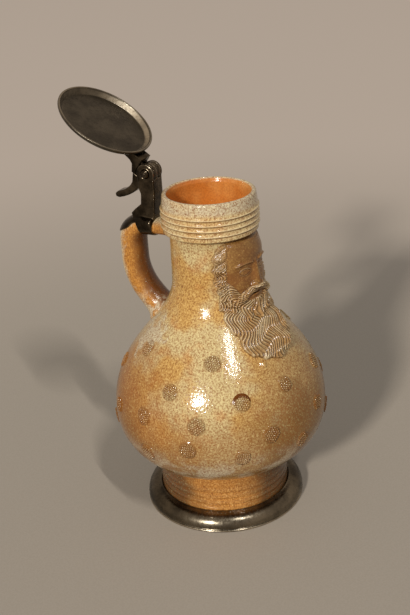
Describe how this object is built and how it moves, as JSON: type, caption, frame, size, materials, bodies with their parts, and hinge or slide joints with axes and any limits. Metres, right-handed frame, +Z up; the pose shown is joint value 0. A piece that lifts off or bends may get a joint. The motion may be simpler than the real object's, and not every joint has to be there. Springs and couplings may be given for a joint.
{
  "type": "stoneware jug",
  "caption": "Round-bellied salt-glazed stoneware jug with a bearded mask, raspberry prunts, a loop handle and a hinged pewter lid.",
  "frame": {"origin": "centre of the underside of the foot, on the surface that the jug stands on", "axes": "+Z up along the jug's axis; the handle and the hinge are at +Y; the hinge pin lies along X; the mask looks towards -Y"},
  "size_m": [0.1371, 0.163, 0.2658],
  "materials": {
    "stoneware": "glossy salt glaze with fine brown speckle",
    "stoneware_relief": "glossy salt glaze, darker in the hollows",
    "pewter": "dark grey-brown patina with a soft gloss"
  },
  "bodies": {
    "jug": {"jug_body": "stoneware", "jug_handle": "stoneware", "bearded_mask": "stoneware_relief", "prunt_01": "stoneware_relief", "prunt_02": "stoneware_relief", "prunt_03": "stoneware_relief", "prunt_04": "stoneware_relief", "prunt_05": "stoneware_relief", "prunt_06": "stoneware_relief", "prunt_07": "stoneware_relief", "prunt_08": "stoneware_relief", "prunt_09": "stoneware_relief", "prunt_10": "stoneware_relief", "prunt_11": "stoneware_relief", "prunt_12": "stoneware_relief", "prunt_13": "stoneware_relief", "prunt_14": "stoneware_relief", "prunt_15": "stoneware_relief", "prunt_16": "stoneware_relief", "prunt_17": "stoneware_relief", "prunt_18": "stoneware_relief", "prunt_19": "stoneware_relief", "prunt_20": "stoneware_relief", "prunt_21": "stoneware_relief", "prunt_22": "stoneware_relief", "prunt_23": "stoneware_relief", "prunt_24": "stoneware_relief", "prunt_25": "stoneware_relief", "prunt_26": "stoneware_relief", "prunt_27": "stoneware_relief", "prunt_28": "stoneware_relief", "prunt_29": "stoneware_relief", "prunt_30": "stoneware_relief", "prunt_31": "stoneware_relief", "prunt_32": "stoneware_relief", "foot_ring": "pewter", "handle_strap": "pewter", "hinge_post": "pewter", "hinge_pin": "pewter"},
    "lid": {"lid": "pewter", "lid_lug": "pewter", "thumb_lever": "pewter"}
  },
  "joints": [
    {"name": "lid_hinge", "type": "hinge", "parent": "jug", "child": "lid", "pos_m": [0, 0.0403, 0.2176], "axis": [1, 0, 0], "range_deg": [0, 146]}
  ]
}
